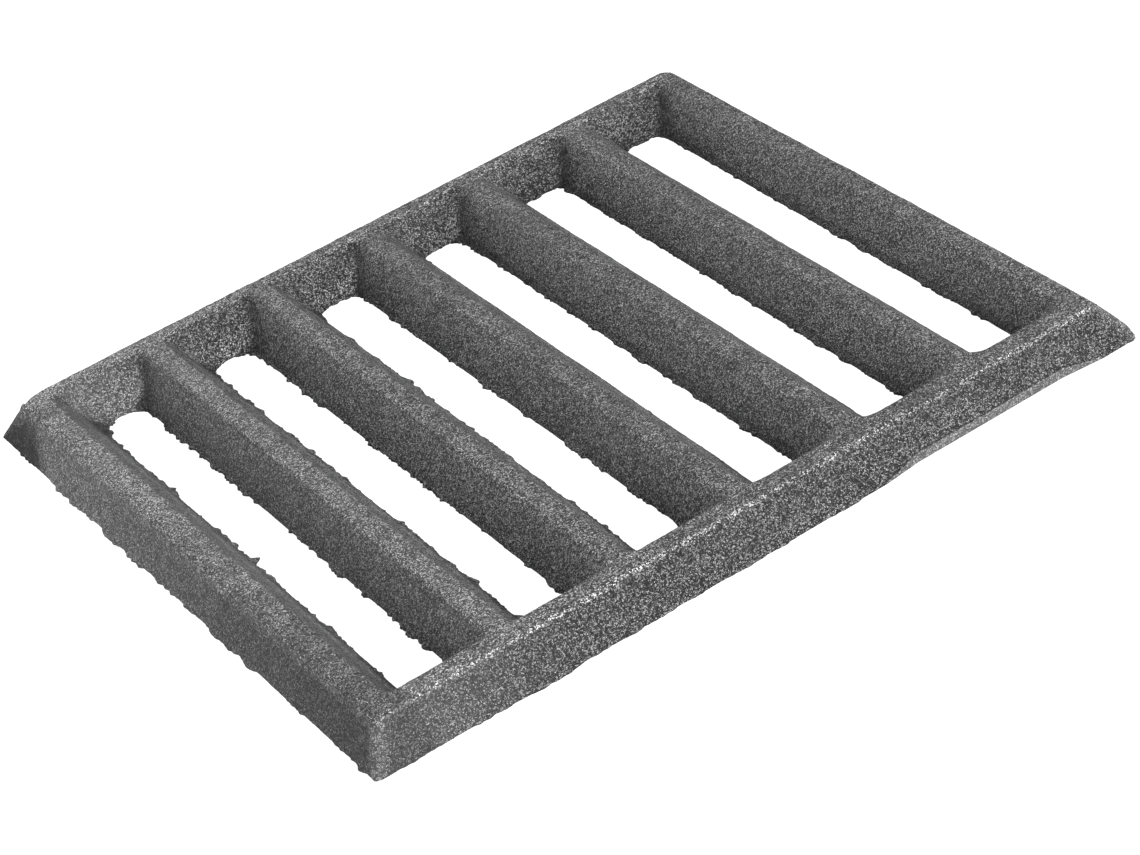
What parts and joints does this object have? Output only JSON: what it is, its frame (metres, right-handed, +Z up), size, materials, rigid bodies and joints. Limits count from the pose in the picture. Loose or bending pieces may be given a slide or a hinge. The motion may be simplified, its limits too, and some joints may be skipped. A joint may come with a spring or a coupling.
{
  "type": "fire grate",
  "caption": "Flat rectangular cast-iron grate: drafted rails joined by parallel tapered bars with open slots between them, laid in a firebox to hold fuel and let ash and air through.",
  "frame": {"origin": "centre of the base, on the plane that the grate rests on", "axes": "+Z up from the wide base to the narrow crests, X along the long side, Y along the bars, with the front rail at -Y and the left rail at -X"},
  "size_m": [0.25, 0.2294, 0.012],
  "materials": {
    "cast_iron": "as-cast sand-moulded grey iron, rough and matt with fine glints on the crests"
  },
  "bodies": {
    "root": {"front_rail": "cast_iron", "back_rail": "cast_iron", "left_rail": "cast_iron", "right_rail": "cast_iron", "bar_1": "cast_iron", "bar_2": "cast_iron", "bar_3": "cast_iron", "bar_4": "cast_iron", "bar_5": "cast_iron"}
  },
  "joints": []
}
